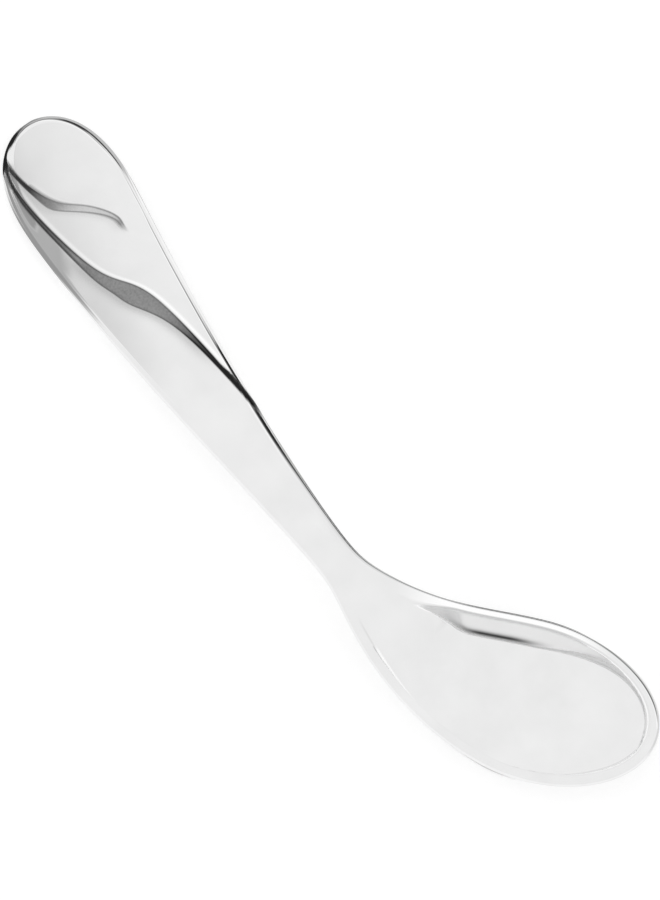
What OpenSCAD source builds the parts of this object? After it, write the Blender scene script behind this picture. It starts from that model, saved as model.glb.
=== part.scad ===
// Angled feeding spoon, one piece of formed and polished stainless steel.
// Every point is first worked out in two flat coordinates: s, the distance along
// the middle line from the end of the handle, and v, the distance to the left of it.
// The middle line is then bent in plan, so the bowl points off to the left.

/* [Handle] */
// Length of the handle along its middle line, from its end to the neck
handle_length = 86; // [70:0.5:105]
// Width that the handle's taper reaches at its very end, before the end is rounded
end_width = 21; // [17:0.1:26]
// Length over which the end of the handle is rounded
end_round = 19; // [14:0.5:24]
// Squareness of the rounded end, higher is blunter
end_power = 2.75; // [2:0.05:4]
// Width at the neck, the narrowest place
neck_width = 5.6; // [4:0.1:9]
// Share of the taper that is straight, the rest is an S curve
taper_straight = 0.67; // [0:0.01:1]
// Thickness of the body at the end of the handle, under the relief
end_thickness = 2; // [1.5:0.1:3]
// Thickness at the neck
neck_thickness = 2.9; // [2.2:0.1:4]
// Height of the neck's top above the table
neck_height = 9.4; // [7.5:0.1:14]
// Length of the handle's end that lies flat on the table
end_flat = 7; // [4:0.5:14]
// Height that the middle of the top stands above its sides
crown = 0.3; // [0:0.05:0.6]
// Length over which the crown dies away at the neck
crown_fade = 16; // [8:0.5:24]
// Radius of the top edge, all round the outline
edge_radius = 0.9; // [0.4:0.05:1]
// Width of the rounding under the edge
under_edge = 1.2; // [0.6:0.05:1.8]

/* [Bend in plan] */
// Turn of the handle's middle line over its whole length, in degrees
handle_bow_angle = 10.8; // [0:0.1:18]
// Turn at the neck, in degrees
neck_bend_angle = 22.3; // [5:0.1:40]
// Distance before the neck at which that turn starts
bend_lead = 5.5; // [0:0.5:15]
// Length over which the neck turns
bend_length = 33; // [20:0.5:45]
// Further turn of the middle line over the bowl, in degrees
bowl_turn_angle = 12.4; // [0:0.1:20]

/* [Bowl] */
// Length of the bowl along its middle line, from the neck to the tip
bowl_length = 50.2; // [42:0.2:62]
// Width that the sides level off at, before the tip is rounded
bowl_width = 26.6; // [20:0.1:32]
// Rise of the half width for each millimetre of length behind the neck
flare = 0.384; // [0.3:0.002:0.6]
// Distance over which the neck eases into the flare
flare_ease = 1.6; // [0.4:0.1:4]
// Distance over which the flare eases into the full width
side_ease = 3.8; // [1:0.1:6]
// Length over which the tip is rounded
tip_round = 22.3; // [16:0.1:30]
// Squareness of the tip, higher is blunter
tip_power = 2.1; // [1.9:0.05:3]
// Depth of the hollow under the rim
hollow_depth = 5.9; // [4.5:0.1:8]
// Thickness of the bowl's floor
floor_thickness = 1.2; // [0.8:0.1:2]
// Thickness of the rim
rim_thickness = 1.25; // [1:0.05:2]
// Width of the flat lip on the rim
lip_width = 1.5; // [1.2:0.05:2.2]
// Distance behind the neck at which the hollow starts
root_start = 8; // [4:0.5:12]
// Length over which the hollow runs down to its full depth
root_length = 10.5; // [9:0.5:24]
// Height by which the floor rises towards the tip
tip_rise = 4.2; // [0:0.1:5]
// Distance before the tip at which that rise starts
tip_rise_lead = 23; // [14:0.5:30]
// Slope of the wall inside, in degrees from the floor
wall_angle = 80; // [60:0.5:82]
// Softness of the corner between floor and wall
foot_ease = 1.8; // [0.4:0.1:3]
// Softness of the corner under the bowl
belly_ease = 4; // [1:0.1:6]
// Height by which the floor rises towards its sides
floor_dish_depth = 0.5; // [0:0.05:1]

/* [Folded leaf relief] */
// Height of the leaf over the body of the handle
leaf_height = 0.85; // [0.3:0.05:1.4]
// Distance from the end at which the ridge crosses the handle's middle
ridge_middle = 29.5; // [24:0.5:38]
// Length of the steep part of that crossing
ridge_cross = 2.8; // [1.5:0.1:6]
// Part of the half width that the crossing covers
ridge_sweep = 0.375; // [0.2:0.005:0.45]
// Length over which the ridge leans across by one half width, away from the crossing
ridge_lean = 46.5; // [36:0.5:60]
// Length over which the ridge curls back towards the left edge by one half width
ridge_curl = 85; // [60:1:200]
// Width of the ridge's face where it is broadest
ridge_face = 3.3; // [1.5:0.1:4.5]
// Distance from the crossing to where the face is broadest
ridge_face_ahead = 2.8; // [0:0.1:6]
// Length over which the face broadens to that width
ridge_face_run = 4.5; // [2:0.1:8]
// Width of the ridge's face where it is only a line
ridge_line = 0.45; // [0.2:0.05:0.8]
// Distance from the end at which the leaf runs out on the left edge
ridge_end = 57; // [50:0.5:64]
// Length over which the leaf sinks away before that
ridge_fade = 12; // [4:0.5:20]
// Height of the small fold on the leaf
fold_height = 0.35; // [0.1:0.05:0.7]
// Distance from the end at which the small fold crosses the middle
fold_middle = 15.4; // [12:0.2:19]
// Length over which the small fold leans across by one half width
fold_lean = 21; // [16:0.5:30]
// Length of the steep part of its crossing
fold_cross = 1.5; // [0.8:0.1:3]
// Width of the small fold's face where it is broadest
fold_face = 1.9; // [0.8:0.1:2.6]
// Length over which that face broadens
fold_face_run = 2.9; // [1.5:0.1:5]
// Width of the small fold's face where it is only a line
fold_line = 0.15; // [0.1:0.05:0.5]
// Distance from the end at which the small fold fades out
fold_end = 23.5; // [21:0.5:28]
// Length over which it fades
fold_fade = 5; // [2:0.5:8]
// Height that the strip beside the ridge climbs from the edge to the ridge's foot, near the end
strip_height = 0.5; // [0:0.05:0.8]
// Distance from the end at which that climb has died away
strip_end = 29; // [20:0.5:40]
// Length over which it dies away
strip_fade = 16; // [6:0.5:20]

/* [Hidden] */

// Length of the middle line and the height of the rim over the table
length_all = handle_length + bowl_length;
rim_height = hollow_depth + floor_thickness;

// Rows along the spoon: fine at both rounded ends, even between them
end_zone = 0.74 * end_round;
tip_zone = 0.8 * tip_round;
end_rows = 20;
tip_rows = 25;
mid_rows = 84;

// Columns across the top: body, ridge face, leaf, fold face, rest of the leaf
cols = [4, 3, 3, 2, 4];
top_cols = cols[0] + cols[1] + cols[2] + cols[3] + cols[4];
arc_cols = 3;
under_arc_cols = 2;
under_cols = 12;

// S curve from 0 to 1, and the larger or smaller of two values with a soft change over
function s_curve(t) = let(u = min(max(t, 0), 1)) u * u * (3 - 2 * u);
function soft_max(a, b, ease) = (a + b + sqrt((a - b) * (a - b) + ease * ease)) / 2;
function soft_min(a, b, ease) = (a + b - sqrt((a - b) * (a - b) + ease * ease)) / 2;
function clamp(x, low, high) = min(max(x, low), high);
function mix(a, b, t) = a + (b - a) * t;

// Ramp with an eased foot and an eased top, straight between them
function face_curve(t) =
    let(u = clamp(t, 0, 1), c = 0.3)
    u < c ? u * u / (2 * c * (1 - c))
    : u > 1 - c ? 1 - (1 - u) * (1 - u) / (2 * c * (1 - c))
    : (u - c / 2) / (1 - c);

// Direction of the middle line at s, in degrees to the left of +X
function heading(s) =
    -handle_bow_angle / 2 + handle_bow_angle * clamp(s / handle_length, 0, 1)
    + neck_bend_angle * s_curve((s - handle_length + bend_lead) / bend_length)
    + bowl_turn_angle * s_curve((s - handle_length) / bowl_length);

// The middle line in plan, added up in short steps along its heading
line_steps = 400;
step = length_all / line_steps;
line_x = [for (i = 0, x = 0; i <= line_steps; x = x + step * cos(heading((i + 0.5) * step)), i = i + 1) [i * step, x]];
line_y = [for (i = 0, y = 0; i <= line_steps; y = y + step * sin(heading((i + 0.5) * step)), i = i + 1) [i * step, y]];

// Flat coordinates to plan
function plan(s, v) =
    let(a = heading(s))
    [lookup(s, line_x) - sin(a) * v, lookup(s, line_y) + cos(a) * v];

// Half width of the outline: handle taper, then the flare, then both rounded ends
function taper(s) =
    let(t = clamp(s / handle_length, 0, 1))
    mix(end_width, neck_width, taper_straight * t + (1 - taper_straight) * s_curve(t)) / 2;
function sides(s) =
    soft_min(soft_max(taper(s), neck_width / 2 + flare * (s - handle_length + 0.6 * flare_ease), flare_ease),
             bowl_width / 2, side_ease);
function half_width(s) =
    let(e = clamp(1 - s / end_round, 0, 1),
        q = clamp(1 - (length_all - s) / tip_round, 0, 1))
    sides(s) * sqrt(max(0, 1 - pow(e, end_power))) * sqrt(max(0, 1 - pow(q, tip_power)));

// Slope of the outline at s, for setting edges in square to it
function slope(s) =
    let(h = 0.02 * min(s, length_all - s, end_round / 4))
    (half_width(s + h) - half_width(s - h)) / (2 * h);

// Height of the top edge over the table: the handle climbs to the neck and the rim lies below it
function edge_height(s) =
    s < handle_length
    ? mix(end_thickness, neck_height, pow(sin(90 * clamp((s - end_flat) / (handle_length - end_flat), 0, 1)), 1.4))
    : mix(neck_height, rim_height, s_curve((s - handle_length) / (0.6 * bowl_length)));

// Thickness of the plain plate at s
function plate(s) =
    s < handle_length
    ? mix(end_thickness, neck_thickness, s_curve(s / handle_length))
    : mix(neck_thickness, rim_thickness, s_curve((s - handle_length) / (root_start + 1.6 * root_length)));

// Share of the full depth at s, on the way down from the root
function root_share(s) = s_curve((s - handle_length - root_start) / root_length);

// Depth at s for a place x across (-1 to 1) and a distance d from the edge that the wall starts at:
// the wall runs down at its slope until it meets the dished floor with a soft corner.
// The floor is deepest in the middle of the bowl and rises towards the tip.
function basin(s, x, d, full, ease) =
    let(share = root_share(s),
        rise = tip_rise * s_curve((s - length_all + tip_rise_lead) / (0.87 * tip_rise_lead)),
        deep = max(0, share * (full - floor_dish_depth * x * x) - rise))
    share <= 0 ? 0 : max(0, soft_min(deep, tan(wall_angle) * d, ease * share));
function wall_gap(s, side_gap, tip_at) = max(0, soft_min(side_gap, tip_at - s, 0.3 * foot_ease));
function hollow_at(s, x, half, square) =
    basin(s, x, wall_gap(s, (1 - abs(x)) * half * square, length_all - lip_width), hollow_depth, foot_ease);
function shell_at(s, v, square) =
    let(half = max(half_width(s), 0.01), x = clamp(v / half, -1, 1))
    plate(s) + basin(s, x, wall_gap(s, (half - abs(v)) * square, length_all), rim_height - rim_thickness, belly_ease);

// Place across the handle of the ridge's crest, then the width of its face
function crest_at(s) =
    -0.09 + (s - ridge_middle) / ridge_lean
    + ridge_sweep * atan((s - ridge_middle) / ridge_cross) / 90
    + pow((s - ridge_middle) / ridge_curl, 2);
function face_at(s) =
    ridge_line + (ridge_face - ridge_line)
    / (1 + pow((s - ridge_middle - ridge_face_ahead) / ridge_face_run, 2));
function fold_crest_at(s) =
    -0.12 + (s - fold_middle) / fold_lean + 0.27 * atan((s - fold_middle) / fold_cross) / 90;
function fold_face_at(s) =
    fold_line + (fold_face - fold_line) / (1 + pow((s - fold_middle) / fold_face_run, 2));

// The four lines that the relief is built on, as v at a given s
function ridge_crest(s) = crest_at(s) * half_width(s);
function ridge_foot(s) = ridge_crest(s) - face_at(s);
function fold_crest(s) = fold_crest_at(s) * half_width(s);
function fold_foot(s) = fold_crest(s) - fold_face_at(s);

// Height of the relief: the leaf is raised on the left of the ridge, the fold on the leaf,
// and the strip on the right of the ridge climbs from the edge to the ridge's foot
function relief(s, v) =
    s > ridge_end ? 0
    : let(half = half_width(s),
          leaf = face_curve((v - ridge_foot(s)) / (ridge_crest(s) - ridge_foot(s))),
          fold = face_curve((v - fold_foot(s)) / (fold_crest(s) - fold_foot(s))),
          strip = min(1, 2 * s_curve((v + half) / max(ridge_foot(s) + half, 2.7 * ridge_line) / 2)))
      leaf_height * s_curve((ridge_end - s) / ridge_fade) * leaf
      + fold_height * s_curve((fold_end - s) / fold_fade) * fold
      + strip_height * s_curve((strip_end - s) / strip_fade) * strip;

// Crown of the handle, which dies away before the hollow
function crown_at(s, x) =
    crown * (1 - x * x) * s_curve(1.6 * s / end_round) * (1 - s_curve((s - handle_length) / crown_fade + 0.5));

// Rows
function row_s(i) =
    i <= end_rows ? end_zone * (1 - cos(90 * i / end_rows))
    : i <= end_rows + mid_rows ? mix(end_zone, length_all - tip_zone, (i - end_rows) / mid_rows)
    : length_all - tip_zone * (1 - cos(90 * (end_rows + mid_rows + tip_rows - i) / tip_rows));
rows = end_rows + mid_rows + tip_rows;

// Place of column k across the top, from 0 on the right to 1 on the left.
// On the handle the columns follow the relief, in the bowl they crowd at the walls.
function share(v, half) = (v / half + 1) / 2;
function marks(s, half) =
    let(b1 = clamp(share(ridge_foot(s), half), 0.05, 0.78),
        b2 = clamp(share(ridge_crest(s), half), b1 + 0.03, 0.84),
        b3 = clamp(share(fold_foot(s), half), b2 + 0.03, 0.90),
        b4 = clamp(share(fold_crest(s), half), b3 + 0.02, 0.94))
    [0, b1, b2, b3, b4, 1];
starts = [0, cols[0], cols[0] + cols[1], cols[0] + cols[1] + cols[2], top_cols - cols[4], top_cols];
function zone(k, z) = k <= starts[z + 1] || z == 4 ? z : zone(k, z + 1);
function across(s, half, k) =
    let(m = marks(s, half), z = zone(k, 0),
        on_handle = mix(m[z], m[z + 1], (k - starts[z]) / cols[z]),
        in_bowl = (1 - cos(180 * k / top_cols)) / 2)
    mix(on_handle, in_bowl, s_curve((s / handle_length - 0.63) / 0.3));

// One row as a closed loop: left of the loop is the right edge of the spoon.
// set_in gives s and v of a point set in by d from the edge on one side.
function set_in(s, w, lean, side, d) =
    [s + d * lean[0], side * (w - d * lean[1])];
function edge_point(s, w, lean, side, a) =
    let(p = set_in(s, w, lean, side, edge_radius * (1 - cos(a))),
        r = relief(p[0], p[1]))
    concat(plan(p[0], p[1]), edge_height(p[0]) - edge_radius + (edge_radius + r) * sin(a));
function under_point(s, w, lean, side, a) =
    let(p = set_in(s, w, lean, side, under_edge * (1 - cos(a))))
    concat(plan(p[0], p[1]),
           edge_height(p[0]) - edge_radius - (shell_at(p[0], p[1], lean[1]) - edge_radius) * sin(a));
function row(i) =
    let(s = row_s(i),
        w = i == 0 || i == rows ? 0 : half_width(s),
        g = i == 0 || i == rows ? 0 : slope(s),
        n = sqrt(1 + g * g),
        lean = i == 0 ? [1, 0] : i == rows ? [-1, 0] : [g / n, 1 / n],
        lip = set_in(s, w, lean, 1, lip_width),
        inset = set_in(s, w, lean, 1, under_edge))
    concat(
        [for (k = [0:arc_cols]) edge_point(s, w, lean, -1, 90 * k / arc_cols)],
        [for (k = [0:top_cols])
            let(f = across(lip[0], max(lip[1], 0.01), k),
                x = 2 * f - 1,
                v = lip[1] * x)
            concat(plan(lip[0], v),
                   edge_height(lip[0]) + relief(lip[0], v) + crown_at(lip[0], x)
                   - hollow_at(lip[0], x, lip[1], lean[1]))],
        [for (k = [arc_cols:-1:0]) edge_point(s, w, lean, 1, 90 * k / arc_cols)],
        [for (k = [1:under_arc_cols]) under_point(s, w, lean, 1, 90 * k / under_arc_cols)],
        [for (k = [1:under_cols - 1])
            let(x = cos(180 * k / under_cols),
                v = inset[1] * x)
            concat(plan(inset[0], v),
                   edge_height(inset[0]) - shell_at(inset[0], v, lean[1]))],
        [for (k = [under_arc_cols:-1:1]) under_point(s, w, lean, -1, 90 * k / under_arc_cols)]);

per_row = 2 * (arc_cols + 1) + top_cols + 1 + 2 * under_arc_cols + under_cols - 1;
raw = [for (i = [0:rows]) each row(i)];

// Origin: middle of the plan box, on the table
low = [for (a = [0:2]) min([for (p = raw) p[a]])];
high = [for (a = [0:2]) max([for (p = raw) p[a]])];
shift = [-(low[0] + high[0]) / 2, -(low[1] + high[1]) / 2, -low[2]];
points = [for (p = raw) p + shift];

// At the two ends a row closes on itself, so its right half takes the numbers of its left half
top_count = 2 * (arc_cols + 1) + top_cols + 1;
function folded(k) =
    k <= arc_cols + 1 ? k
    : k <= arc_cols + 1 + top_cols ? arc_cols + 1
    : k < top_count ? top_count - 1 - k
    : k < top_count + under_arc_cols ? k
    : k <= top_count + under_arc_cols + under_cols - 2 ? top_count + under_arc_cols - 1
    : 2 * (top_count + under_arc_cols - 1) + under_cols - k;
function number(i, k) =
    let(j = k % per_row)
    i * per_row + (i == 0 || i == rows ? folded(j) : j);
function whole(t) = t[0] != t[1] && t[1] != t[2] && t[2] != t[0];
faces = [
    for (i = [0:rows - 1], k = [0:per_row - 1])
        let(a = number(i, k), b = number(i, k + 1), c = number(i + 1, k + 1), d = number(i + 1, k))
        each [for (t = [[a, b, c], [a, c, d]]) if (whole(t)) t]];

// The whole spoon
module spoon() {
    color("gainsboro")
        polyhedron(points = points, faces = faces, convexity = 8);
}

spoon();
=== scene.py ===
import bpy
import bmesh
import math
import numpy as np
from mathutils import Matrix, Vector


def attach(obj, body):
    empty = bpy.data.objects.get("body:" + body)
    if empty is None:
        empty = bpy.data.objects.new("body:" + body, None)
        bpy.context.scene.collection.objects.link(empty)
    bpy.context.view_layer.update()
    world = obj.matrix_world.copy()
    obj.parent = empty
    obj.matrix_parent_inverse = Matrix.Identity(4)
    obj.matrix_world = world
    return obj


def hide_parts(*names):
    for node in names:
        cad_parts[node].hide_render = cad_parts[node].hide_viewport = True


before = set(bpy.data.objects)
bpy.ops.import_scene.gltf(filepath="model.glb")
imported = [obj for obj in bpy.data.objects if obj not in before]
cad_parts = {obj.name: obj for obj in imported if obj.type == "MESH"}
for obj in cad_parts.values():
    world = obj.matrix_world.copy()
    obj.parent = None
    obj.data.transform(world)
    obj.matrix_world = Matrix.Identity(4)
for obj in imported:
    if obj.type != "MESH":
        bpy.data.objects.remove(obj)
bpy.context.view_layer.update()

# sizes of the spoon in millimetres and degrees. Most are those of the solid. The lip's width, the root's
# place and length, the floor's rise and the softness of its corner differ a little, and a few belong to this
# finer surface alone. A pair is a place and the length of the change that begins or ends there.
handle = {
    "length": 86.0, "endWidth": 21.0, "endRound": 19.0, "endPower": 2.75,
    "neckWidth": 5.6, "straight": 0.67, "endThick": 2.0, "neckThick": 2.9,
    "neckHeight": 9.4, "endFlat": 7.0, "climbPower": 1.4,
    "crown": 0.3, "crownStart": 1.2, "crownFade": 16.0, "edge": 0.9, "underEdge": 1.2,
    "bow": 10.8, "bend": 22.3, "bendLead": 5.5, "bendLength": 33.0,
}
bowl = {
    "length": 50.2, "width": 26.6, "flare": 0.384, "flareEase": 1.6, "flareLead": 0.6, "sideEase": 3.8,
    "tipRound": 22.3, "tipPower": 2.1, "turn": 12.4, "drop": 0.6,
    "hollow": 5.9, "floor": 1.2, "rim": 1.25, "plateRun": 1.6,
    "lip": 1.35, "lipEdge": 0.3, "sharpEdge": 0.02, "lipAcross": (-0.15, 0.7),
    "rootLip": 1.1, "rootLipFrom": (84.0, 6.0), "rootLipTo": (101.0, 7.0),
    "rootStart": 8.9, "rootLength": 9.6, "tipRise": 4.6, "tipRiseLead": 23.0, "tipRiseRun": 0.87,
    "wallAngle": 80.0, "tipCorner": 0.54, "tipFrom": (116.0, 12.0), "bellyEase": 4.0, "dish": 0.5,
    "footEase": 1.0, "nearFoot": 0.4, "nearAcross": (-0.7, 0.9), "tipFoot": 2.0,
    "rootFoot": 3.0, "rootAcross": (0.2, 0.6), "rootTo": (102.0, 6.0),
}
leaf = {
    "height": 0.85, "middle": 29.5, "aside": -0.09, "cross": 2.8, "sweep": 0.375, "lean": 46.5, "curl": 85.0,
    "face": 3.3, "ahead": 2.8, "run": 4.5, "line": 0.45, "end": 57.0, "fade": 12.0,
    "foldHeight": 0.35, "foldMiddle": 15.4, "foldAside": -0.12, "foldLean": 21.0, "foldCross": 1.5,
    "foldSweep": 0.27, "foldFace": 1.9, "foldRun": 2.9, "foldLine": 0.15, "foldEnd": 23.5, "foldFade": 5.0,
    "foldHook": 0.95, "foldHookAt": 20.0, "foldHookRise": 3.0, "foldHookFall": 1.9,
    "strip": 0.5, "stripEnd": 29.0, "stripFade": 16.0, "stripNarrow": 2.2, "stripEase": 0.1,
}
wholeLength = handle["length"] + bowl["length"]
rimHeight = bowl["hollow"] + bowl["floor"]
hair = 0.01  # least half width, so that nothing is divided by zero


# S curve from 0 to 1
def sCurve(t):
    t = np.clip(t, 0, 1)
    return t * t * (3 - 2 * t)


# S curve that starts at a place and rises over a fade, and one that falls over a fade and ends at a place
def rising(t, start, fade):
    return sCurve((t - start) / fade)


def falling(t, end, fade):
    return sCurve((end - t) / fade)


# bell curve: e to the power of minus the squared distance from the middle, counted in widths
def bell(t, middle, width):
    return np.exp(-((t - middle) / width) ** 2)


# the larger, or the smaller, of two values with a soft change over
def softMax(a, b, ease):
    return (a + b + np.sqrt((a - b) ** 2 + ease ** 2)) / 2


def softMin(a, b, ease):
    return (a + b - np.sqrt((a - b) ** 2 + ease ** 2)) / 2


def mix(a, b, t):
    return a + (b - a) * t


# ramp from 0 to 1 with a parabola of length c at each end and a straight run between
def faceCurve(t, c=0.3):
    t = np.clip(t, 0, 1)
    low = t * t / (2 * c * (1 - c))
    high = 1 - (1 - t) ** 2 / (2 * c * (1 - c))
    return np.where(t < c, low, np.where(t > 1 - c, high, (t - c / 2) / (1 - c)))


# direction of the middle line: an even turn over the handle, an S turn at the neck, one over the bowl
def heading(s):
    turn = (-handle["bow"] / 2 + handle["bow"] * np.clip(s / handle["length"], 0, 1)
            + handle["bend"] * sCurve((s - handle["length"] + handle["bendLead"]) / handle["bendLength"])
            + bowl["turn"] * sCurve((s - handle["length"]) / bowl["length"]))
    return np.radians(turn)


lineSteps = 4000
lineS = np.linspace(0, wholeLength, lineSteps + 1)
midHeading = heading((lineS[1:] + lineS[:-1]) / 2)
lineX = np.concatenate([[0], np.cumsum(np.cos(midHeading) * np.diff(lineS))])
lineY = np.concatenate([[0], np.cumsum(np.sin(midHeading) * np.diff(lineS))])


# half width: taper of the handle, flare of the bowl, both ends rounded by 1 - t^power under a root
def halfWidth(s):
    t = np.clip(s / handle["length"], 0, 1)
    taper = mix(handle["endWidth"], handle["neckWidth"],
                handle["straight"] * t + (1 - handle["straight"]) * sCurve(t)) / 2
    past = s - handle["length"] + bowl["flareLead"] * bowl["flareEase"]
    flare = handle["neckWidth"] / 2 + bowl["flare"] * past
    side = softMin(softMax(taper, flare, bowl["flareEase"]), bowl["width"] / 2, bowl["sideEase"])
    e = np.clip(1 - s / handle["endRound"], 0, 1)
    q = np.clip(1 - (wholeLength - s) / bowl["tipRound"], 0, 1)
    return (side * np.sqrt(np.maximum(0, 1 - e ** handle["endPower"]))
            * np.sqrt(np.maximum(0, 1 - q ** bowl["tipPower"])))


# height of the top edge: flat end, climb to the neck, down to the rim
def edgeHeight(s):
    t = np.clip((s - handle["endFlat"]) / (handle["length"] - handle["endFlat"]), 0, 1)
    climb = mix(handle["endThick"], handle["neckHeight"], np.sin(math.pi / 2 * t) ** handle["climbPower"])
    drop = mix(handle["neckHeight"], rimHeight, rising(s, handle["length"], bowl["drop"] * bowl["length"]))
    return np.where(s < handle["length"], climb, drop)


# thickness of the plate under the top edge, from the end over the neck to the rim
def plateAt(s):
    low = mix(handle["endThick"], handle["neckThick"], sCurve(s / handle["length"]))
    high = mix(handle["neckThick"], bowl["rim"],
               rising(s, handle["length"], bowl["rootStart"] + bowl["plateRun"] * bowl["rootLength"]))
    return np.where(s < handle["length"], low, high)


# fall of the wall over a distance: a round arc of radius r first, then straight at the wall's slope
def wallFall(gap, r):
    a = math.radians(bowl["wallAngle"])
    arc = r - np.sqrt(np.maximum(r * r - gap * gap, 0))
    straight = r * (1 - math.cos(a)) + math.tan(a) * (gap - r * math.sin(a))
    return np.where(gap < r * math.sin(a), arc, straight)


# depth of the dished floor, x from -1 at the right side to 1 at the left: it comes in over the root and
# rises towards the tip
def floorDepth(s, x, full):
    share = sCurve((s - handle["length"] - bowl["rootStart"]) / bowl["rootLength"])
    lead = bowl["tipRiseLead"]
    rise = bowl["tipRise"] * rising(s, wholeLength - lead, bowl["tipRiseRun"] * lead)
    return share, np.maximum(0, share * (full - bowl["dish"] * x * x) - rise)


# depth of the bowl: the wall falls until it meets the floor in a soft corner. Its rounding at the lip is
# full on the far side and at the tip, and shrinks to a sharp edge on the near side.
def basin(s, x, gap, full, ease, r):
    share, deep = floorDepth(s, x, full)
    r = r * np.maximum(rising(x, *bowl["lipAcross"]), rising(s, *bowl["tipFrom"]))
    depth = softMin(deep, wallFall(gap, np.maximum(r, bowl["sharpEdge"])), ease * share)
    return np.where(share > 0, np.maximum(0, depth), 0)


# distance to the foot of the lip: the smaller of those to the side and to the tip, with a soft change over
def wallGap(s, sideGap, tipAt):
    return np.maximum(0, softMin(sideGap, tipAt - s, bowl["tipCorner"]))


# levels, places and lengths of the bowl's finish and its painted shade lines. A pair whose name ends in At
# is the middle and the width of a bell.
bowlFinish = {
    "farAcross": (-0.1, 0.2), "farFrom": (97.0, 5.0), "farWall": 0.45,
    "wallTo": (3.0, 3.0), "wallDeep": (0.0, 0.4), "wallIn": (0.0, 0.3),
    "lineAt": (0.5, 0.8), "lineFrom": (99.0, 7.0), "lineTo": (118.0, 8.0), "lineAcross": (0.0, 0.5),
    "brimAt": (0.14, 0.12), "brimFar": 0.6, "brimNear": 0.16, "brimTo": (124.0, 6.0),
    "brimAcross": (0.0, 0.3), "brimFarFrom": 95.0, "brimNearFrom": 91.0, "brimFade": 3.0,
    "lipFrom": (90.0, 10.0), "lipTo": (129.0, 12.0),
}


# finish of the bowl, 0 to 1: the wall is softer than the floor, with a dark line of painted shade in the far
# corner and a fine grey line of painted shade along the foot of the lip
def bowlShares(s, x, gap):
    deep = floorDepth(s, x, bowl["hollow"])[1]
    past = wallFall(gap, bowl["sharpEdge"]) - deep
    farSide = rising(x, *bowlFinish["farAcross"]) * rising(s, *bowlFinish["farFrom"])
    wall = (falling(past, *bowlFinish["wallTo"]) * rising(deep, *bowlFinish["wallDeep"])
            * rising(gap, *bowlFinish["wallIn"]) * mix(1, bowlFinish["farWall"], farSide))
    # painted shade: a dark line in the far corner
    line = (bell(past, *bowlFinish["lineAt"]) * rising(s, *bowlFinish["lineFrom"])
            * falling(s, *bowlFinish["lineTo"]) * rising(x, *bowlFinish["lineAcross"]))
    # painted shade: a fine grey line along the foot of the lip
    across = rising(x, *bowlFinish["brimAcross"])
    brim = mix(bowlFinish["brimNear"], bowlFinish["brimFar"], falling(s, *bowlFinish["brimTo"]) * across)
    brimFrom = mix(bowlFinish["brimNearFrom"], bowlFinish["brimFarFrom"], across)
    brim = brim * bell(gap, *bowlFinish["brimAt"]) * rising(s, brimFrom, bowlFinish["brimFade"])
    return wall, line, brim


# the ridge crosses the handle on a straight lean plus an arctangent step, its face broadest ahead of it
def ridgeCrest(s):
    m = s - leaf["middle"]
    return (leaf["aside"] + m / leaf["lean"] + leaf["sweep"] * np.arctan(m / leaf["cross"]) * 2 / math.pi
            + (m / leaf["curl"]) ** 2) * halfWidth(s)


# the foot lies under the crest by the width of the face: 1 / (1 + t^2) over a narrow line
def ridgeFoot(s):
    m = s - leaf["middle"] - leaf["ahead"]
    return ridgeCrest(s) - leaf["line"] - (leaf["face"] - leaf["line"]) / (1 + (m / leaf["run"]) ** 2)


# the fold runs as the ridge does, with a bell curve near its end that turns it up like a hook
def foldCrest(s):
    m = s - leaf["foldMiddle"]
    width = np.where(s < leaf["foldHookAt"], leaf["foldHookRise"], leaf["foldHookFall"])
    step = leaf["foldSweep"] * np.arctan(m / leaf["foldCross"]) * 2 / math.pi
    return ((leaf["foldAside"] + m / leaf["foldLean"] + step) * halfWidth(s)
            + leaf["foldHook"] * bell(s, leaf["foldHookAt"], width))


def foldFoot(s):
    m = s - leaf["foldMiddle"]
    face = leaf["foldFace"] - leaf["foldLine"]
    return foldCrest(s) - leaf["foldLine"] - face / (1 + (m / leaf["foldRun"]) ** 2)


# how far up the ridge's face, and up the fold's face, a place lies
def reliefParts(s, v):
    up = faceCurve((v - ridgeFoot(s)) / (ridgeCrest(s) - ridgeFoot(s)))
    fold = faceCurve((v - foldFoot(s)) / (foldCrest(s) - foldFoot(s)))
    return up, fold


# height over the edge: a crown over the whole width, the ridge, the fold, and the strip under the ridge
# that climbs evenly from the edge to the ridge's foot near the end of the handle
def relief(s, v):
    up, fold = reliefParts(s, v)
    half = halfWidth(s)
    stripWide = np.maximum(ridgeFoot(s) + half - handle["edge"], leaf["stripNarrow"] * leaf["line"])
    strip = faceCurve((v + half - handle["edge"]) / stripWide, leaf["stripEase"])
    raised = (leaf["height"] * falling(s, leaf["end"], leaf["fade"]) * up
              + leaf["foldHeight"] * falling(s, leaf["foldEnd"], leaf["foldFade"]) * fold
              + leaf["strip"] * falling(s, leaf["stripEnd"], leaf["stripFade"]) * strip)
    crown = (handle["crown"] * (1 - np.clip(v / np.maximum(half, hair), -1, 1) ** 2)
             * sCurve(handle["crownStart"] * s / handle["endRound"])
             * (1 - sCurve((s - handle["length"]) / handle["crownFade"] + 0.5)))
    return crown + np.where(s > leaf["end"], 0, raised)
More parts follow.
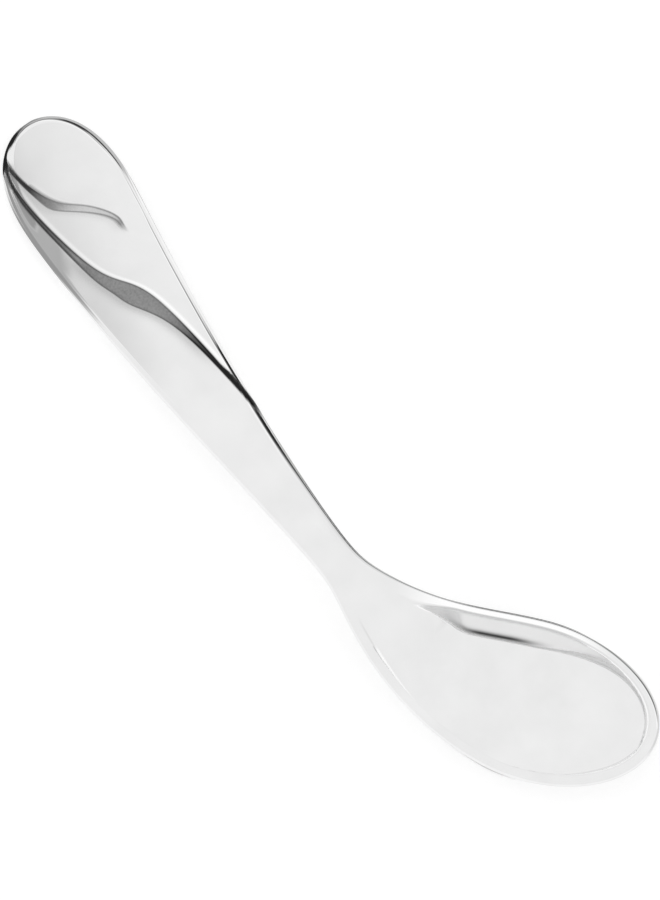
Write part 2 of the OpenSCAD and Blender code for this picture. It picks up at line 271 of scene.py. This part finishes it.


# finish of a step, its satin with its painted shade and painted highlight: places from its foot or its crest
# and lengths, both in millimetres, and levels from 0 to 1. The ridge's and the fold's own places are counted
# along the spoon.
stepFinish = {
    "faceFoot": (-0.12, 0.24), "faceCrest": 0.2, "openIn": (0.2, 0.3), "startFade": 2.0,
    "footSatinShadeReach": 1.0, "footSatinShadeCrest": (-0.1, 0.3),
    "footLine": 0.16, "footLevel": 0.5, "crestLine": 0.17, "crestLevel": 0.62,
    "narrowTo": 1.15, "narrowWidth": 0.9, "narrowLevel": 0.4, "deepWidth": 1.9,
    "shineAt": (-0.32, 0.26), "shineLate": 2.0, "shineIn": 5.0, "shineEarly": 6.0, "shineOut": 8.0,
}
ridgeFinish = {
    "start": 4.0, "beyond": 3.0, "fade": 4.0, "fine": 0.13,
    "over": 0.02, "overEdge": 0.45, "overFrom": (48.0, 4.0),
    "footSatinShade": 0.42, "footSatinShadeFrom": (20.0, 6.0), "footSatinShadeTo": (50.0, 8.0),
    "deep": 0.65, "deepFrom": (34.0, 12.0), "deepCap": 0.3, "deepCapTo": (13.0, 6.0),
    "opens": 0.3, "opensFrom": (9.0, 3.0), "opensTo": (25.0, 3.0),
}
foldFinish = {
    "start": 4.0, "short": 0.4, "fade": 2.0, "fine": 0.2, "over": 0.02, "footMore": 0.16, "crestMore": 0.12,
    "footSatinShade": 0.25, "deep": 0.8, "deepTo": (14.0, 6.0), "opens": 0.5, "opensFrom": (14.0, 3.0),
    "share": 0.84, "capShare": 0.97, "capTo": (15.0, 6.0), "lineLess": 0.1, "shine": 0.5,
}


# one step: the satin face between foot and crest, painted grey as shade, with a thin tail of satin and
# painted shade below its foot, paler in the middle where it opens, the darker lines of painted shade along
# both borders, which run together where the face is narrow, and a white line of painted highlight beyond the
# crest
def oneStep(s, v, foot, crest, start, end, fade, footSatinShade, deep, opens, over, fine):
    form = stepFinish
    width = crest - foot
    up, down = v - foot, crest - v
    here = rising(s, start, form["startFade"]) * falling(s, end, fade)
    # painted shade: the satin face is painted grey
    face = rising(up, *form["faceFoot"]) * rising(down, -over, form["faceCrest"])
    face = face * (1 - opens * rising(np.minimum(up, down), *form["openIn"]))
    # painted shade: a tail of satin and grey below the foot
    tail = footSatinShade * np.where(up < 0, bell(up, 0, form["footSatinShadeReach"]), 1) * rising(down, *form["footSatinShadeCrest"])
    # painted shade: dark lines along foot and crest, darker still where the face is narrow
    line = (bell(up, form["footLine"], fine) * form["footLevel"]
            + bell(down, form["crestLine"], fine) * form["crestLevel"])
    narrow = np.clip(form["narrowTo"] - width / form["narrowWidth"], 0, 1) * form["narrowLevel"]
    narrow = narrow + deep * np.clip(form["deepWidth"] - width, 0, 1)
    # painted highlight: a white line just beyond the crest
    shine = (bell(down, *form["shineAt"]) * rising(s, start + form["shineLate"], form["shineIn"])
             * falling(s, end - form["shineEarly"], form["shineOut"]))
    return np.maximum(face, tail) * here, np.clip(line + narrow, 0, 1) * face * here, shine


# finish of both steps, 0 to 1: satin face painted grey as shade, dark line of painted shade and painted
# highlight
def stepShares(s, v):
    form = ridgeFinish
    # painted shade: the tail under the ridge's foot, and more dark where its face is narrow
    footSatinShade = form["footSatinShade"] * (rising(s, *form["footSatinShadeFrom"]) * falling(s, *form["footSatinShadeTo"]))
    deep = form["deep"] * rising(s, *form["deepFrom"]) + form["deepCap"] * falling(s, *form["deepCapTo"])
    opens = form["opens"] * rising(s, *form["opensFrom"]) * falling(s, *form["opensTo"])
    over = form["over"] + form["overEdge"] * rising(s, *form["overFrom"])
    ridge = oneStep(s, v, ridgeFoot(s), ridgeCrest(s), form["start"], leaf["end"] + form["beyond"],
                    form["fade"], footSatinShade, deep, opens, over, form["fine"])
    form = foldFinish
    deep = form["deep"] * falling(s, *form["deepTo"])
    opens = form["opens"] * rising(s, *form["opensFrom"])
    fold = oneStep(s, v, foldFoot(s) - form["footMore"], foldCrest(s) + form["crestMore"], form["start"],
                   leaf["foldEnd"] - form["short"], form["fade"], form["footSatinShade"], deep, opens,
                   form["over"], form["fine"])
    share = mix(form["share"], form["capShare"], falling(s, *form["capTo"]))
    return (np.maximum(ridge[0], share * fold[0]),
            np.maximum(ridge[1], (share - form["lineLess"]) * fold[1]),
            np.maximum(ridge[2], form["shine"] * fold[2]))


# the mesh: rows by zone, columns by zone on the handle and in the bowl, with the bowl's marks in
# millimetres from the foot of the lip
grid = {
    "endRows": 60, "midRows": 300, "tipRows": 90, "endZone": 0.74, "tipZone": 0.8, "slopeStep": 0.02,
    "cols": [26, 18, 26, 12, 20], "leastShare": 0.05, "mostShares": [0.78, 0.84, 0.9, 0.94],
    "apart": [0.03, 0.03, 0.02], "crowdFoot": 1.4, "crowdCrest": 1.8,
    "wallCols": [5, 5, 18, 23], "wallMarks": [0.0, 0.3, 0.7, 1.6], "leastHalf": 4.5, "bowlFrom": (0.63, 0.3),
    "arc": 8, "lip": 3, "lipArc": 3, "underArc": 8, "under": 30,
}


# rows: cosine spacing at both rounded ends, even between them
def rowPlaces():
    endZone, tipZone = grid["endZone"] * handle["endRound"], grid["tipZone"] * bowl["tipRound"]
    a = endZone * (1 - np.cos(np.linspace(0, math.pi / 2, grid["endRows"] + 1)))
    b = np.linspace(endZone, wholeLength - tipZone, grid["midRows"] + 1)
    c = wholeLength - tipZone * (1 - np.cos(np.linspace(math.pi / 2, 0, grid["tipRows"] + 1)))
    return np.concatenate([a, b[1:], c[1:]])


# which zone each column is in, and how far through it, from the number of columns in each zone
def zoneSteps(counts):
    zones = np.concatenate([np.full(n, z) for z, n in enumerate(counts)])
    return zones, np.concatenate([np.arange(n) / n for n in counts])


# columns: place 0 to 1 across the top. On the handle they follow the relief and crowd on both sides of the
# ridge, in the bowl they crowd at its walls.
def acrossTop(s, right, left):
    lines = [(v - right) / (left - right) for v in (ridgeFoot(s), ridgeCrest(s), foldFoot(s), foldCrest(s))]
    marks = [np.zeros_like(s), np.clip(lines[0], grid["leastShare"], grid["mostShares"][0])]
    for line, apart, most in zip(lines[1:], grid["apart"], grid["mostShares"][1:]):
        marks.append(np.maximum(marks[-1] + apart, np.minimum(line, most)))
    marks = np.stack([*marks, np.ones_like(s)], axis=1)
    zones, steps = zoneSteps(grid["cols"])
    zones, steps = np.append(zones, len(grid["cols"]) - 1), np.append(steps, 1.0)
    steps = np.where(zones == 0, 1 - (1 - steps) ** grid["crowdFoot"],
                     np.where(zones == 2, steps ** grid["crowdCrest"], steps))
    onHandle = marks[:, zones] * (1 - steps) + marks[:, zones + 1] * steps

    half = (left - right) / 2
    marks = np.array(grid["wallMarks"])[None] / np.maximum(half, grid["leastHalf"])[:, None] / 2
    marks = np.concatenate([marks, np.full((len(s), 1), 0.5)], axis=1)
    zones, steps = zoneSteps(grid["wallCols"])
    side = marks[:, zones] * (1 - steps) + marks[:, zones + 1] * steps
    inBowl = np.concatenate([side, np.full((len(s), 1), 0.5), 1 - side[:, ::-1]], axis=1)
    return mix(onHandle, inBowl, rising(s / handle["length"], *grid["bowlFrom"])[:, None])


# flat coordinates (along, left, up) to the plan: the middle line plus v square to it
def toPlan(s, v, z):
    a = heading(s)
    x = np.interp(s, lineS, lineX) - np.sin(a) * v
    y = np.interp(s, lineS, lineY) + np.cos(a) * v
    return np.stack([x, y, z], axis=-1)


# the top edge is rounded more widely round the cap, and by a share of that along the left side
wideEdge = {"more": 0.8, "capTo": (14.0, 8.0), "left": 0.45, "leftTo": (78.0, 20.0), "rightLean": (0.5, 0.5)}


# one closed ring of points for each row: right edge, top, left edge, underside
def spoonSurface():
    s = rowPlaces()
    w = halfWidth(s)
    w[0] = w[-1] = 0
    # the outline's slope from two near places, and from it the direction square to the outline
    h = grid["slopeStep"] * np.minimum(np.minimum(s, wholeLength - s), handle["endRound"] / 4)
    h[0] = h[-1] = 1
    g = (halfWidth(s + h) - halfWidth(s - h)) / (2 * h)
    n = np.sqrt(1 + g * g)
    leanS, leanV = g / n, 1 / n
    leanS[0], leanV[0], leanS[-1], leanV[-1] = 1, 0, -1, 0

    # places that lie d inside the outline, side is 1 on the left and -1 on the right
    def setIn(side, d):
        return s[:, None] + d * leanS[:, None], side * (w[:, None] - d * leanV[:, None])

    # depth of the underside below the top edge
    def shellDepth(ps, pv):
        half = np.maximum(halfWidth(ps), hair)
        x = np.clip(pv / half, -1, 1)
        gap = wallGap(ps, (half - np.abs(pv)) * leanV[:, None], wholeLength)
        return plateAt(ps) + basin(ps, x, gap, rimHeight - bowl["rim"], bowl["bellyEase"], bowl["sharpEdge"])

    arc = np.linspace(0, math.pi / 2, grid["arc"] + 1)[None, :]
    under = np.linspace(0, math.pi / 2, grid["underArc"] + 1)[1:][None, :]
    strip = np.linspace(0, 1, grid["lip"] + 1)[1:-1][None, :]

    # the quarter circle of the edge, then the flat of the lip, and the quarter circle below
    def edgeRing(side, wider, lip):
        wide = handle["edge"] + wideEdge["more"] * wider[:, None]
        ps, pv = setIn(side, wide * (1 - np.cos(arc)))
        z = edgeHeight(ps) - handle["edge"] + (handle["edge"] + relief(ps, pv)) * np.sin(arc)
        lipS, lipV = setIn(side, mix(wide, lip[:, None], strip))
        places = np.concatenate([ps, lipS], axis=1), np.concatenate([pv, lipV], axis=1)
        upper = toPlan(*places, np.concatenate([z, edgeHeight(lipS) + relief(lipS, lipV)], axis=1))
        ps, pv = setIn(side, handle["underEdge"] * (1 - np.cos(under)))
        z = edgeHeight(ps) - handle["edge"] - (shellDepth(ps, pv) - handle["edge"]) * np.sin(under)
        return places, upper, toPlan(ps, pv, z)

    widerLeft = mix(wideEdge["left"] * falling(s, *wideEdge["leftTo"]), 1, falling(s, *wideEdge["capTo"]))
    widerRight = rising(leanS, *wideEdge["rightLean"])
    rootLip = bowl["rootLip"] * falling(s, *bowl["rootLipTo"]) * rising(s, *bowl["rootLipFrom"])
    leftLip = bowl["lip"] + wideEdge["more"] * widerLeft + rootLip
    rightLip = bowl["lip"] + wideEdge["more"] * widerRight
    rightPlaces, right, rightLow = edgeRing(-1, widerRight, rightLip)
    leftPlaces, left, leftLow = edgeRing(1, widerLeft, leftLip)

    # the top between the lips, and the hollow in it with a corner softest at the tip and at the root
    rightS, rightV = setIn(-1, rightLip[:, None])
    leftS, leftV = setIn(1, leftLip[:, None])
    rightV, leftV = np.minimum(rightV, -hair), np.maximum(leftV, hair)
    f = acrossTop((rightS[:, 0] + leftS[:, 0]) / 2, rightV[:, 0], leftV[:, 0])
    x = 2 * f - 1
    ps, pv = mix(rightS, leftS, f), mix(rightV, leftV, f)
    gap = wallGap(ps, (1 - np.abs(x)) * leftV * leanV[:, None], wholeLength - bowl["lip"])
    atRoot = falling(x, *bowl["rootAcross"]) * falling(ps, *bowl["rootTo"])
    ease = (bowl["footEase"] * mix(bowl["nearFoot"], 1, rising(x, *bowl["nearAcross"]))
            * mix(1, bowl["tipFoot"], rising(ps, *bowl["tipFrom"])) * mix(1, bowl["rootFoot"], atRoot))
    top = toPlan(ps, pv, edgeHeight(ps) + relief(ps, pv)
                 - basin(ps, x, gap, bowl["hollow"], ease, bowl["lipEdge"]))

    inS, inV = setIn(1, handle["underEdge"])
    y = np.cos(math.pi * np.linspace(0, 1, grid["under"] + 1)[1:-1])[None, :]
    underS = np.broadcast_to(inS, (len(s), y.shape[1]))
    below = toPlan(underS, inV * y, edgeHeight(underS) - shellDepth(underS, inV * y))
    ring = np.concatenate([right, top, left[:, ::-1], leftLow, below, rightLow[:, ::-1]], axis=1)

    # the finish of every point: satin painted grey as shade, dark line of painted shade, painted highlight,
    # softer wall
    acrossS = np.concatenate([rightPlaces[0], ps, leftPlaces[0][:, ::-1]], axis=1)
    acrossV = np.concatenate([rightPlaces[1], pv, leftPlaces[1][:, ::-1]], axis=1)
    shares = np.zeros((4, *ring.shape[:2]))
    shares[:3, :, :acrossS.shape[1]] = stepShares(acrossS, acrossV)
    wall, corner, brim = bowlShares(ps, x, gap)
    # painted light: the bowl's wall is painted white
    bright = np.clip(wall / bowlFinish["farWall"], 0, 1)
    span = slice(right.shape[1], right.shape[1] + top.shape[1])
    # painted shade from the far corner's line and the lip's foot, painted light on the wall
    for n, part in enumerate((np.maximum(corner, brim), corner, bright, wall)):
        shares[n, :, span] = np.maximum(shares[n, :, span], part)
    # painted highlight: the lip on the bowl's far side is white
    lipZone = slice(span.stop, span.stop + grid["lip"] - 1 + grid["lipArc"])
    lipPaintedHighlight = rising(s, *bowlFinish["lipFrom"]) * falling(s, *bowlFinish["lipTo"])
    shares[2, :, lipZone] = np.maximum(shares[2, :, lipZone], lipPaintedHighlight[:, None])
    return ring, shares


# quads between neighbouring rows and columns, wound so that they face outwards
def gridFaces(rows, cols):
    i, k = np.meshgrid(np.arange(rows - 1), np.arange(cols), indexing="ij")
    k2 = (k + 1) % cols
    quads = np.stack([i * cols + k, (i + 1) * cols + k, (i + 1) * cols + k2, i * cols + k2], axis=-1)
    return quads.reshape(-1, 4)


def addValues(mesh, name, values):
    values = values.astype(np.float32).ravel()
    mesh.attributes.new(name, "FLOAT", "POINT").data.foreach_set("value", values)


def makeMesh(name, points, quads):
    mesh = bpy.data.meshes.new(name)
    mesh.vertices.add(len(points))
    mesh.vertices.foreach_set("co", points.astype(np.float32).ravel())
    mesh.loops.add(quads.size)
    mesh.loops.foreach_set("vertex_index", quads.astype(np.int32).ravel())
    mesh.polygons.add(len(quads))
    mesh.polygons.foreach_set("loop_start", np.arange(0, quads.size, 4, dtype=np.int32))
    mesh.update(calc_edges=True)
    obj = bpy.data.objects.new(name, mesh)
    bpy.context.scene.collection.objects.link(obj)
    return obj


ring, shares = spoonSurface()
rows, cols = ring.shape[:2]
points = ring.reshape(-1, 3)
low, high = points.min(axis=0), points.max(axis=0)
boxMiddle = (low[:2] + high[:2]) / 2
points = (points - [*boxMiddle, low[2]]) / 1000  # millimetres to metres, middle of the box at the origin
spoon = makeMesh("spoonBody", points, gridFaces(rows, cols))

# the shares: satin with painted grey shade, painted shade line, painted light, softer wall
for name, values in zip(("stepFace", "stepLine", "crestShine", "bowlWall"), shares):
    addValues(spoon.data, name, values)

samePlace = 2e-7  # metres, within which two points are one
work = bmesh.new()
work.from_mesh(spoon.data)
bmesh.ops.remove_doubles(work, verts=work.verts, dist=samePlace)  # closes both ends
bmesh.ops.recalc_face_normals(work, faces=work.faces)
work.to_mesh(spoon.data)
work.free()
spoon.data.polygons.foreach_set("use_smooth", np.ones(len(spoon.data.polygons), dtype=bool))
sharpAngle = 38  # degrees, so that the near edge of the hollow stays crisp
spoon.data.set_sharp_from_angle(angle=math.radians(sharpAngle))
spoon.data.update()
print("spoon scene: surface", len(spoon.data.vertices), "points", len(spoon.data.polygons), "faces")


# an sRGB hex value as a linear colour
def hexColour(text):
    part = np.array([int(text[i:i + 2], 16) / 255 for i in (1, 3, 5)])
    lin = np.where(part <= 0.04045, part / 12.92, ((part + 0.055) / 1.055) ** 2.4)
    return (*[float(c) for c in lin], 1.0)


# adds a node, sets its fields and inputs, and links what is given as a socket. An input goes by its name,
# or by i and its number.
def addNode(tree, kind, fields=None, **inputs):
    node = tree.nodes.new(kind)
    for key, value in (fields or {}).items():
        setattr(node, key, value)
    for key, value in inputs.items():
        numbered = key[0] == "i" and key[1:].isdigit()
        socket = node.inputs[int(key[1:]) if numbered else key.replace("_", " ")]
        if isinstance(value, bpy.types.NodeSocket):
            tree.links.new(value, socket)
        else:
            socket.default_value = value
    return node


def newMaterial(name):
    mat = bpy.data.materials.new(name)
    mat.use_nodes = True
    mat.node_tree.nodes.clear()
    return mat, mat.node_tree


# stainless steel, stamped and then polished on a wheel: clear reflections that waver a little, because the
# wheel never leaves a face quite flat. The steps of the relief are satin, and their grey, darkest along
# their borders, is painted shade, as are the dark line in the bowl's far corner and the grey line along the
# lip's foot. The crests and the far lip are white as painted highlight, and the bowl's wall is painted white
# as painted light and is softer than its floor. Sizes are in millimetres.
steel = {
    "colour": "#E4E4E4", "colourLight": "#F2F2F2", "paintedLightColour": "#FFFFFF",
    "stepShadeDark": "#767676", "stepShadeLight": "#A6A6A6", "shadeLineColour": "#262626",
    "roughness": 0.05, "roughnessSpread": 0.05, "stepRoughness": 0.42, "wallRoughness": 0.55,
    "cloudSize": 6.25, "grainSize": 0.303, "waveSize": 9.0, "waveDepth": 0.012,
}


def polishedSteel():
    mat, tree = newMaterial("stainlessSteelPolished")
    place = addNode(tree, "ShaderNodeTexCoord")
    face = addNode(tree, "ShaderNodeAttribute", {"attribute_name": "stepFace"})
    line = addNode(tree, "ShaderNodeAttribute", {"attribute_name": "stepLine"})
    shine = addNode(tree, "ShaderNodeAttribute", {"attribute_name": "crestShine"})
    wall = addNode(tree, "ShaderNodeAttribute", {"attribute_name": "bowlWall"})
    colour = {"data_type": "RGBA"}
    # cloudy changes of gloss and tone
    cloud = addNode(tree, "ShaderNodeTexNoise", Vector=place.outputs["Object"],
                    Scale=1000 / steel["cloudSize"], Detail=3.0)
    gloss = addNode(tree, "ShaderNodeMath", {"operation": "MULTIPLY_ADD"}, i0=cloud.outputs["Fac"],
                    i1=steel["roughnessSpread"], i2=steel["roughness"])
    rough = addNode(tree, "ShaderNodeMix", i0=wall.outputs["Fac"], i2=gloss.outputs[0],
                    i3=steel["wallRoughness"])
    rough = addNode(tree, "ShaderNodeMix", i0=face.outputs["Fac"], i2=rough.outputs[0],
                    i3=steel["stepRoughness"])
    tint = addNode(tree, "ShaderNodeMix", colour, i0=cloud.outputs["Fac"],
                   i6=hexColour(steel["colour"]), i7=hexColour(steel["colourLight"]))
    # painted highlight: white steel along the crests and the far lip, and painted light on the bowl's wall
    plain = addNode(tree, "ShaderNodeMix", colour, i0=shine.outputs["Fac"],
                    i6=tint.outputs[2], i7=hexColour(steel["paintedLightColour"]))
    # grain of the satin steps, drawn coarser than it is so that it shows
    grain = addNode(tree, "ShaderNodeTexNoise", Vector=place.outputs["Object"],
                    Scale=1000 / steel["grainSize"], Detail=2.0)
    # painted shade: the satin steps and the bowl's lines turn grey, with random grain in the grey
    tone = addNode(tree, "ShaderNodeMix", colour, i0=grain.outputs["Fac"],
                   i6=hexColour(steel["stepShadeDark"]), i7=hexColour(steel["stepShadeLight"]))
    # painted shade: near black along the step borders and in the bowl's far corner
    step = addNode(tree, "ShaderNodeMix", colour, i0=line.outputs["Fac"],
                   i6=tone.outputs[2], i7=hexColour(steel["shadeLineColour"]))
    base = addNode(tree, "ShaderNodeMix", colour, i0=face.outputs["Fac"],
                   i6=plain.outputs[2], i7=step.outputs[2])
    # the wheel's shallow waves, drawn deep enough to show
    wave = addNode(tree, "ShaderNodeTexNoise", Vector=place.outputs["Object"],
                   Scale=1000 / steel["waveSize"], Detail=1.0)
    waves = addNode(tree, "ShaderNodeBump", Strength=1.0, Distance=steel["waveDepth"] / 1000,
                    Height=wave.outputs["Fac"])
    shader = addNode(tree, "ShaderNodeBsdfPrincipled", Base_Color=base.outputs[2], Metallic=1.0,
                     Roughness=rough.outputs[0], Normal=waves.outputs["Normal"])
    addNode(tree, "ShaderNodeOutputMaterial", Surface=shader.outputs["BSDF"])
    return mat


spoon.data.materials.append(polishedSteel())
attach(spoon, "root")
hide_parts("spoon")
print("spoon scene: steel on")

# camera: far off with a long lens, turned so that the handle runs down to the right. Angles are in degrees,
# the sensor in millimetres and the rest in metres. Tall is the height of the picture at the spoon.
view = {"azimuth": 57.9, "elevation": 68.0, "distance": 2.5, "tall": 0.12753,
        "aim": (0.000959, 0.000127, 0.004), "sensor": 36.0, "clip": (0.1, 20.0)}
a, e = math.radians(view["azimuth"]), math.radians(view["elevation"])
toRight = Vector((math.cos(a), math.sin(a), 0))
toTop = Vector((-math.sin(a), math.cos(a), 0))
back = -toTop * math.cos(e) + Vector((0, 0, math.sin(e)))
camData = bpy.data.cameras.new("camera")
camData.sensor_width = view["sensor"]
camData.lens = view["sensor"] * view["distance"] / view["tall"]
camData.clip_start, camData.clip_end = view["clip"]
cam = bpy.data.objects.new("camera", camData)
cam.location = Vector(view["aim"]) + back * view["distance"]
cam.rotation_mode = "QUATERNION"
cam.rotation_quaternion = (-back).to_track_quat("-Z", "Y")
bpy.context.scene.collection.objects.link(cam)
bpy.context.scene.camera = cam


# white paper sweep, matt and evenly lit: its own light on camera and mirror rays makes it paper white, and
# the spoon's shadow stays on it. Grey is the share of light that it sends back, half is half its width in
# metres.
sweep = {"grey": 0.5, "glow": 0.6, "half": 2.0}


def sweepMaterial():
    mat, tree = newMaterial("paperSweep")
    path = addNode(tree, "ShaderNodeLightPath")
    seen = addNode(tree, "ShaderNodeMath", {"operation": "MAXIMUM"}, i0=path.outputs["Is Camera Ray"],
                   i1=path.outputs["Is Glossy Ray"])
    seen = addNode(tree, "ShaderNodeMath", {"operation": "MAXIMUM"}, i0=seen.outputs[0],
                   i1=path.outputs["Is Transmission Ray"])
    strength = addNode(tree, "ShaderNodeMath", {"operation": "MULTIPLY"}, i0=seen.outputs[0],
                       i1=sweep["glow"])
    paper = addNode(tree, "ShaderNodeBsdfDiffuse", Color=(sweep["grey"], sweep["grey"], sweep["grey"], 1))
    glow = addNode(tree, "ShaderNodeEmission", Color=(1, 1, 1, 1), Strength=strength.outputs[0])
    both = addNode(tree, "ShaderNodeAddShader", i0=paper.outputs[0], i1=glow.outputs[0])
    addNode(tree, "ShaderNodeOutputMaterial", Surface=both.outputs[0])
    return mat


floorMesh = bpy.data.meshes.new("floor")
corners = [(x * sweep["half"], y * sweep["half"], 0) for x, y in ((-1, -1), (1, -1), (1, 1), (-1, 1))]
floorMesh.from_pydata(corners, [], [(0, 1, 2, 3)])
floor = bpy.data.objects.new("floor", floorMesh)
bpy.context.scene.collection.objects.link(floor)
floor.data.materials.append(sweepMaterial())


# matt card stock of an even grey, lit to its level, that thins out to nothing along its soft borders
def cardMaterial(name, level):
    mat, tree = newMaterial("cardStock" + name[0].upper() + name[1:])
    mask = addNode(tree, "ShaderNodeAttribute", {"attribute_name": "cover"})
    clear = addNode(tree, "ShaderNodeBsdfTransparent")
    glow = addNode(tree, "ShaderNodeEmission", Color=(1, 1, 1, 1), Strength=level)
    both = addNode(tree, "ShaderNodeMixShader", i0=mask.outputs["Fac"], i1=clear.outputs[0],
                   i2=glow.outputs[0])
    addNode(tree, "ShaderNodeOutputMaterial", Surface=both.outputs[0])
    return mat


# only mirror rays meet a card, so it leaves the floor's light alone
def finishCard(name, pts, level, cover):
    rows, cols = pts.shape[:2]
    i, k = np.meshgrid(np.arange(rows - 1), np.arange(cols - 1), indexing="ij")
    first, second = i * cols + k, (i + 1) * cols + k
    quads = np.stack([first, first + 1, second + 1, second], axis=-1).reshape(-1, 4)
    card = makeMesh(name, pts.reshape(-1, 3) / 1000, quads)
    addValues(card.data, "cover", cover)
    card.data.materials.append(cardMaterial(name, level))
    card.visible_camera = card.visible_diffuse = card.visible_shadow = card.visible_transmission = False
    return card


# a card is a patch of a sphere: its bearing from picture right towards picture top and its height in
# degrees, its level, the sphere's middle to picture right and picture top and its radius in millimetres,
# and the share of it that its soft borders take
cardPlaces = {
    "endCard": ((92, 222), (42, 83), 0.5, (-43, 34), 30, 0.22),
    "endLow": ((140, 222), (-12, 52), 0.37, (-43, 34), 34, 0.18),
    "endDark": ((40, 84), (-4, 20), 0.03, (-44, 38), 55, 0.2),
    "endDarkLeft": ((104, 134), (-4, 12), 0.03, (-44, 38), 55, 0.2),
    "endGrey": ((60, 128), (-4, 20), 0.35, (-44, 38), 57, 0.2),
    "endShade": ((70, 180), (46, 84), 0.78, (-43, 34), 80, 0.4),
    "petalSide": ((38, 90), (-4, 40), 1.0, (-22, 32), 62, 0.2),
    "neckCard": ((10, 105), (-5, 42), 0.75, (9.8, -24), 14, 0.3),
    "tipCard": ((-60, 98), (-5, 42), 0.8, (44.5, -40), 16, 0.2),
    "bowlCard": ((40, 130), (16, 50), 0.85, (30, -33), 60, 0.3),
}
cardSteps = 33


def makeCard(name, bearing, height, level, middle, radius, soft):
    a, b = np.meshgrid(np.linspace(0, 1, cardSteps), np.linspace(0, 1, cardSteps))
    t, u = np.radians(mix(*bearing, a)), np.radians(mix(*height, b))
    right = middle[0] + radius * np.cos(t) * np.cos(u)
    up = middle[1] + radius * np.sin(t) * np.cos(u)
    pts = np.stack([right * toRight.x + up * toTop.x, right * toRight.y + up * toTop.y,
                    radius * np.sin(u)], axis=-1)
    cover = sCurve(np.minimum(a, 1 - a) / soft) * sCurve(np.minimum(b, 1 - b) / soft)
    return finishCard(name, pts, level, cover)


# places along the outline are counted in millimetres along the middle line: from the handle's end up the
# left side to the tip, then on down the right side; below zero is the right side again. The angle of a
# circle laid over the length spaces the points, so both round ends are smooth.
def outlineAngle(place):
    turns = np.floor(place / wholeLength)
    part = place - turns * wholeLength
    part = part if turns % 2 == 0 else wholeLength - part
    angle = math.acos(1 - 2 * part / wholeLength)
    return math.pi * turns + (angle if turns % 2 == 0 else math.pi - angle)


# a paper lies on the floor along the outline, seen by the steel alone. It begins a millimetre under the
# spoon, goes out square to the outline by its reach, and may show only from a distance on. Its row: level,
# the places where it starts and ends, reach, the length of its soft ends, the share of its reach that
# fades, and where it begins to show, which is -9 for a paper that shows from its inner border on.
paper = {"under": -1.0, "showFade": 8.0, "along": 220, "across": 9, "lift": 0.1, "liftStep": 0.05}
paperPlaces = {
    "farPaper": (0.03, 44, 92, 150, 8, 0.3, 8),
    "bowlFarPaper": (0.2, 97, wholeLength - 15, 30, 6, 0.4),
    "capPaper": (0.6, -3, 14, 40, 3),
    "leafPaper": (0.3, 12, 50, 2.2, 3, 0.5),
    "endPaper": (0.02, -5.5, 0.5, 12, 1.0),
    "stripPaper": (0.37, -28, -4.5, 40, 8),
    "rimPaper": (0.52, wholeLength - 18, 2 * wholeLength - 100, 1.0, 6, 0.5),
}


def makePaper(name, lift, level, start, end, reach, soft, fade=0.3, showFrom=-9):
    angle = np.linspace(outlineAngle(start), outlineAngle(end), paper["along"])
    s = wholeLength * (1 - np.cos(angle)) / 2
    side = np.where(np.sin(angle) < 0, -1, 1)
    rim = toPlan(s, side * halfWidth(s), 0 * s + lift)
    along = np.gradient(rim[:, :2], axis=0)
    out = np.stack([-along[:, 1], along[:, 0]], axis=-1) / np.linalg.norm(along, axis=1)[:, None]
    wide = reach - paper["under"]
    grow = paper["under"] + wide * np.linspace(0, 1, paper["across"])[:, None] ** 2
    pts = np.repeat(rim[None], paper["across"], axis=0)
    pts[..., :2] += grow[..., None] * out - boxMiddle
    place = np.where(angle < 0, -s, np.where(angle > math.pi, 2 * wholeLength - s, s))
    ends = sCurve(np.minimum(place - start, end - place) / soft)[None]
    shown = falling(grow, reach, fade * wide) * rising(grow, showFrom, paper["showFade"])
    return finishCard(name, pts, level, ends * shown)


cards = [makeCard(name, *place) for name, place in cardPlaces.items()]
for n, (name, place) in enumerate(paperPlaces.items()):
    cards.append(makePaper(name, paper["lift"] + n * paper["liftStep"], *place))

# the tent: an even light that turns dark low on the far side, at a bearing of 60 degrees from picture right
# towards picture top. A stop is how far a direction points to the dark side, 1 for straight at it, and the
# light there.
tent = {"rightShare": 0.5, "topShare": 0.866, "strength": 1.25,
        "stops": [(0.0, 0.8), (0.62, 0.8), (0.67, 0.95), (0.72, 0.9), (0.76, 0.6), (0.82, 0.25),
                  (0.88, 0.02)]}
world = bpy.data.worlds.new("tent")
bpy.context.scene.world = world
world.use_nodes = True
tree = world.node_tree
tree.nodes.clear()
where = addNode(tree, "ShaderNodeTexCoord")
far = addNode(tree, "ShaderNodeVectorMath", {"operation": "DOT_PRODUCT"}, i0=where.outputs["Generated"],
              i1=toRight * tent["rightShare"] + toTop * tent["topShare"])
ramp = addNode(tree, "ShaderNodeValToRGB", Fac=far.outputs["Value"])
ramp.color_ramp.interpolation = "EASE"
stops = ramp.color_ramp.elements
stops.remove(stops[1])
for n, (place, light) in enumerate(tent["stops"]):
    stop = stops.new(place) if n else stops[0]
    stop.position = place
    stop.color = (light, light, light, 1)
level = addNode(tree, "ShaderNodeMath", {"operation": "MULTIPLY"}, i0=ramp.outputs["Color"],
                i1=tent["strength"])
sky = addNode(tree, "ShaderNodeBackground", Color=(1, 1, 1, 1), Strength=level.outputs[0])
addNode(tree, "ShaderNodeOutputWorld", Surface=sky.outputs[0])

bpy.context.scene.view_settings.view_transform = "Standard"
print("spoon scene: camera, cards and sweep set")
